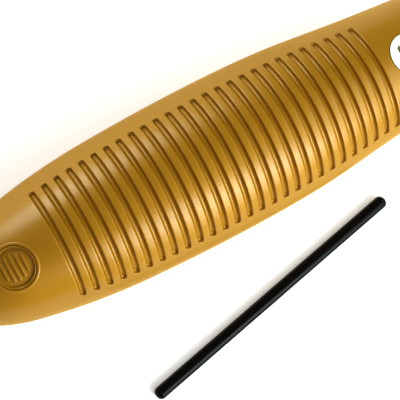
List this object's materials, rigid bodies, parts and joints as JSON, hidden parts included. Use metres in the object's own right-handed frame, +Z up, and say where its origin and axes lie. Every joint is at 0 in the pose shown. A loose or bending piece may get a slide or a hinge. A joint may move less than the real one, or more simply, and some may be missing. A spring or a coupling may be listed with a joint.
{
  "type": "guiro",
  "caption": "Hollow moulded guiro with a ridged front, grip holes in a flat-backed shell, and a loose straight rod scraper beside it.",
  "frame": {"origin": "on the flat land of the back, half way along the body and under its axis, between the two grip holes", "axes": "+X along the body from the small domed end to the blunt end, +Z up from the flat back towards the ridged front, +Y to the side away from the scraper"},
  "size_m": [0.346, 0.1711, 0.0924],
  "materials": {
    "front_shell": "satin metallic gold",
    "rear_shell": "satin metallic gold",
    "label": "smooth white vinyl",
    "scraper": "semi-gloss black"
  },
  "bodies": {
    "body": {"front_shell": "front_shell", "rear_shell": "rear_shell", "label": "label"},
    "scraper": {"scraper": "scraper"}
  },
  "joints": [
    {"name": "scraper_lift", "type": "slide", "parent": "body", "child": "scraper", "axis": [0, 0, 1], "range_m": [0, 0.15]}
  ]
}
